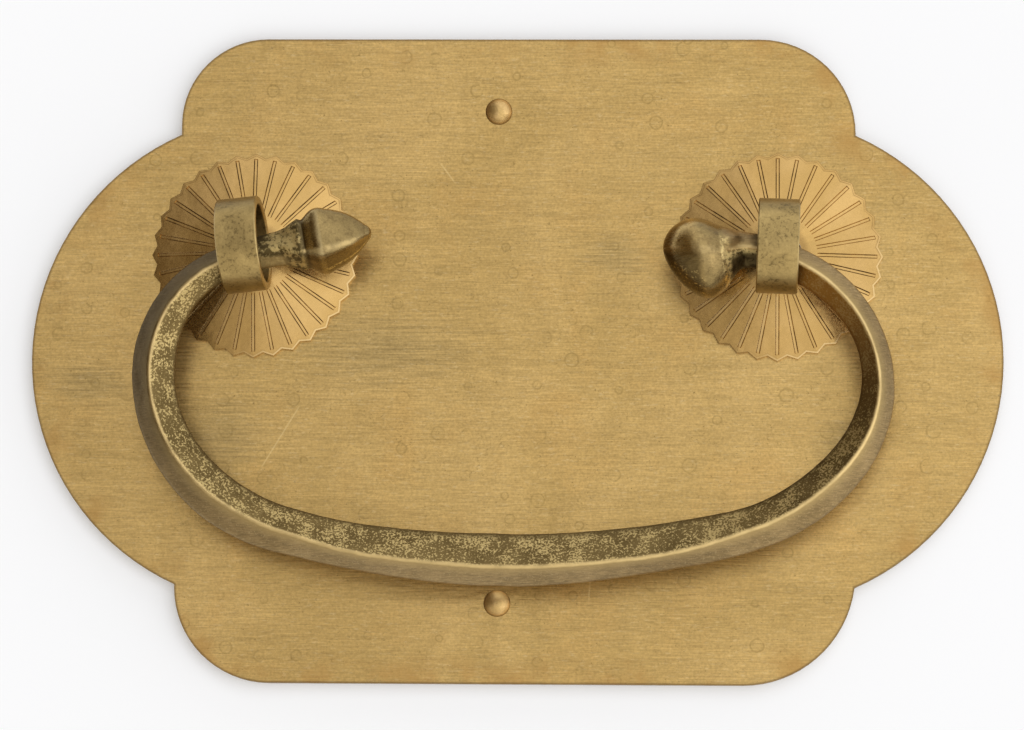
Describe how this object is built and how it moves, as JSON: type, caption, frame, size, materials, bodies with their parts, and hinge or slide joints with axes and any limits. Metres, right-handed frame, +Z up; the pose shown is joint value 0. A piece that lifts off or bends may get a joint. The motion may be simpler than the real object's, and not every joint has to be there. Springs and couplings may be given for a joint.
{
  "type": "drawer pull",
  "caption": "Brass drawer pull: a ridged bail with acorn-bud ends swings in strap cotter eyes over sunburst rosettes on a flat lobed backplate fixed with dome nails.",
  "frame": {"origin": "centre of the backplate's back face, where it lies on the drawer front", "axes": "+Z up, +X to the right as seen from in front, +Y into the drawer front"},
  "size_m": [0.152, 0.0503, 0.1016],
  "materials": {
    "plate_brass": "brushed, tarnished",
    "rosette_brass": "satin, dark patina in the grooves",
    "strap_brass": "satin, mottled patina",
    "bail_brass": "dark cast patina, worn bright on the ridges",
    "nail_brass": "satin"
  },
  "bodies": {
    "plate_assembly": {"backplate": "plate_brass", "rosette_left": "rosette_brass", "rosette_right": "rosette_brass", "cotter_left": "strap_brass", "cotter_right": "strap_brass", "nail_top": "nail_brass", "nail_bottom": "nail_brass"},
    "bail": {"bail_handle": "bail_brass"}
  },
  "joints": [
    {"name": "bail_swing", "type": "hinge", "parent": "plate_assembly", "child": "bail", "pos_m": [0, -0.0128, 0.01456], "axis": [-1, 0, 0], "range_deg": [-6, 120]}
  ]
}
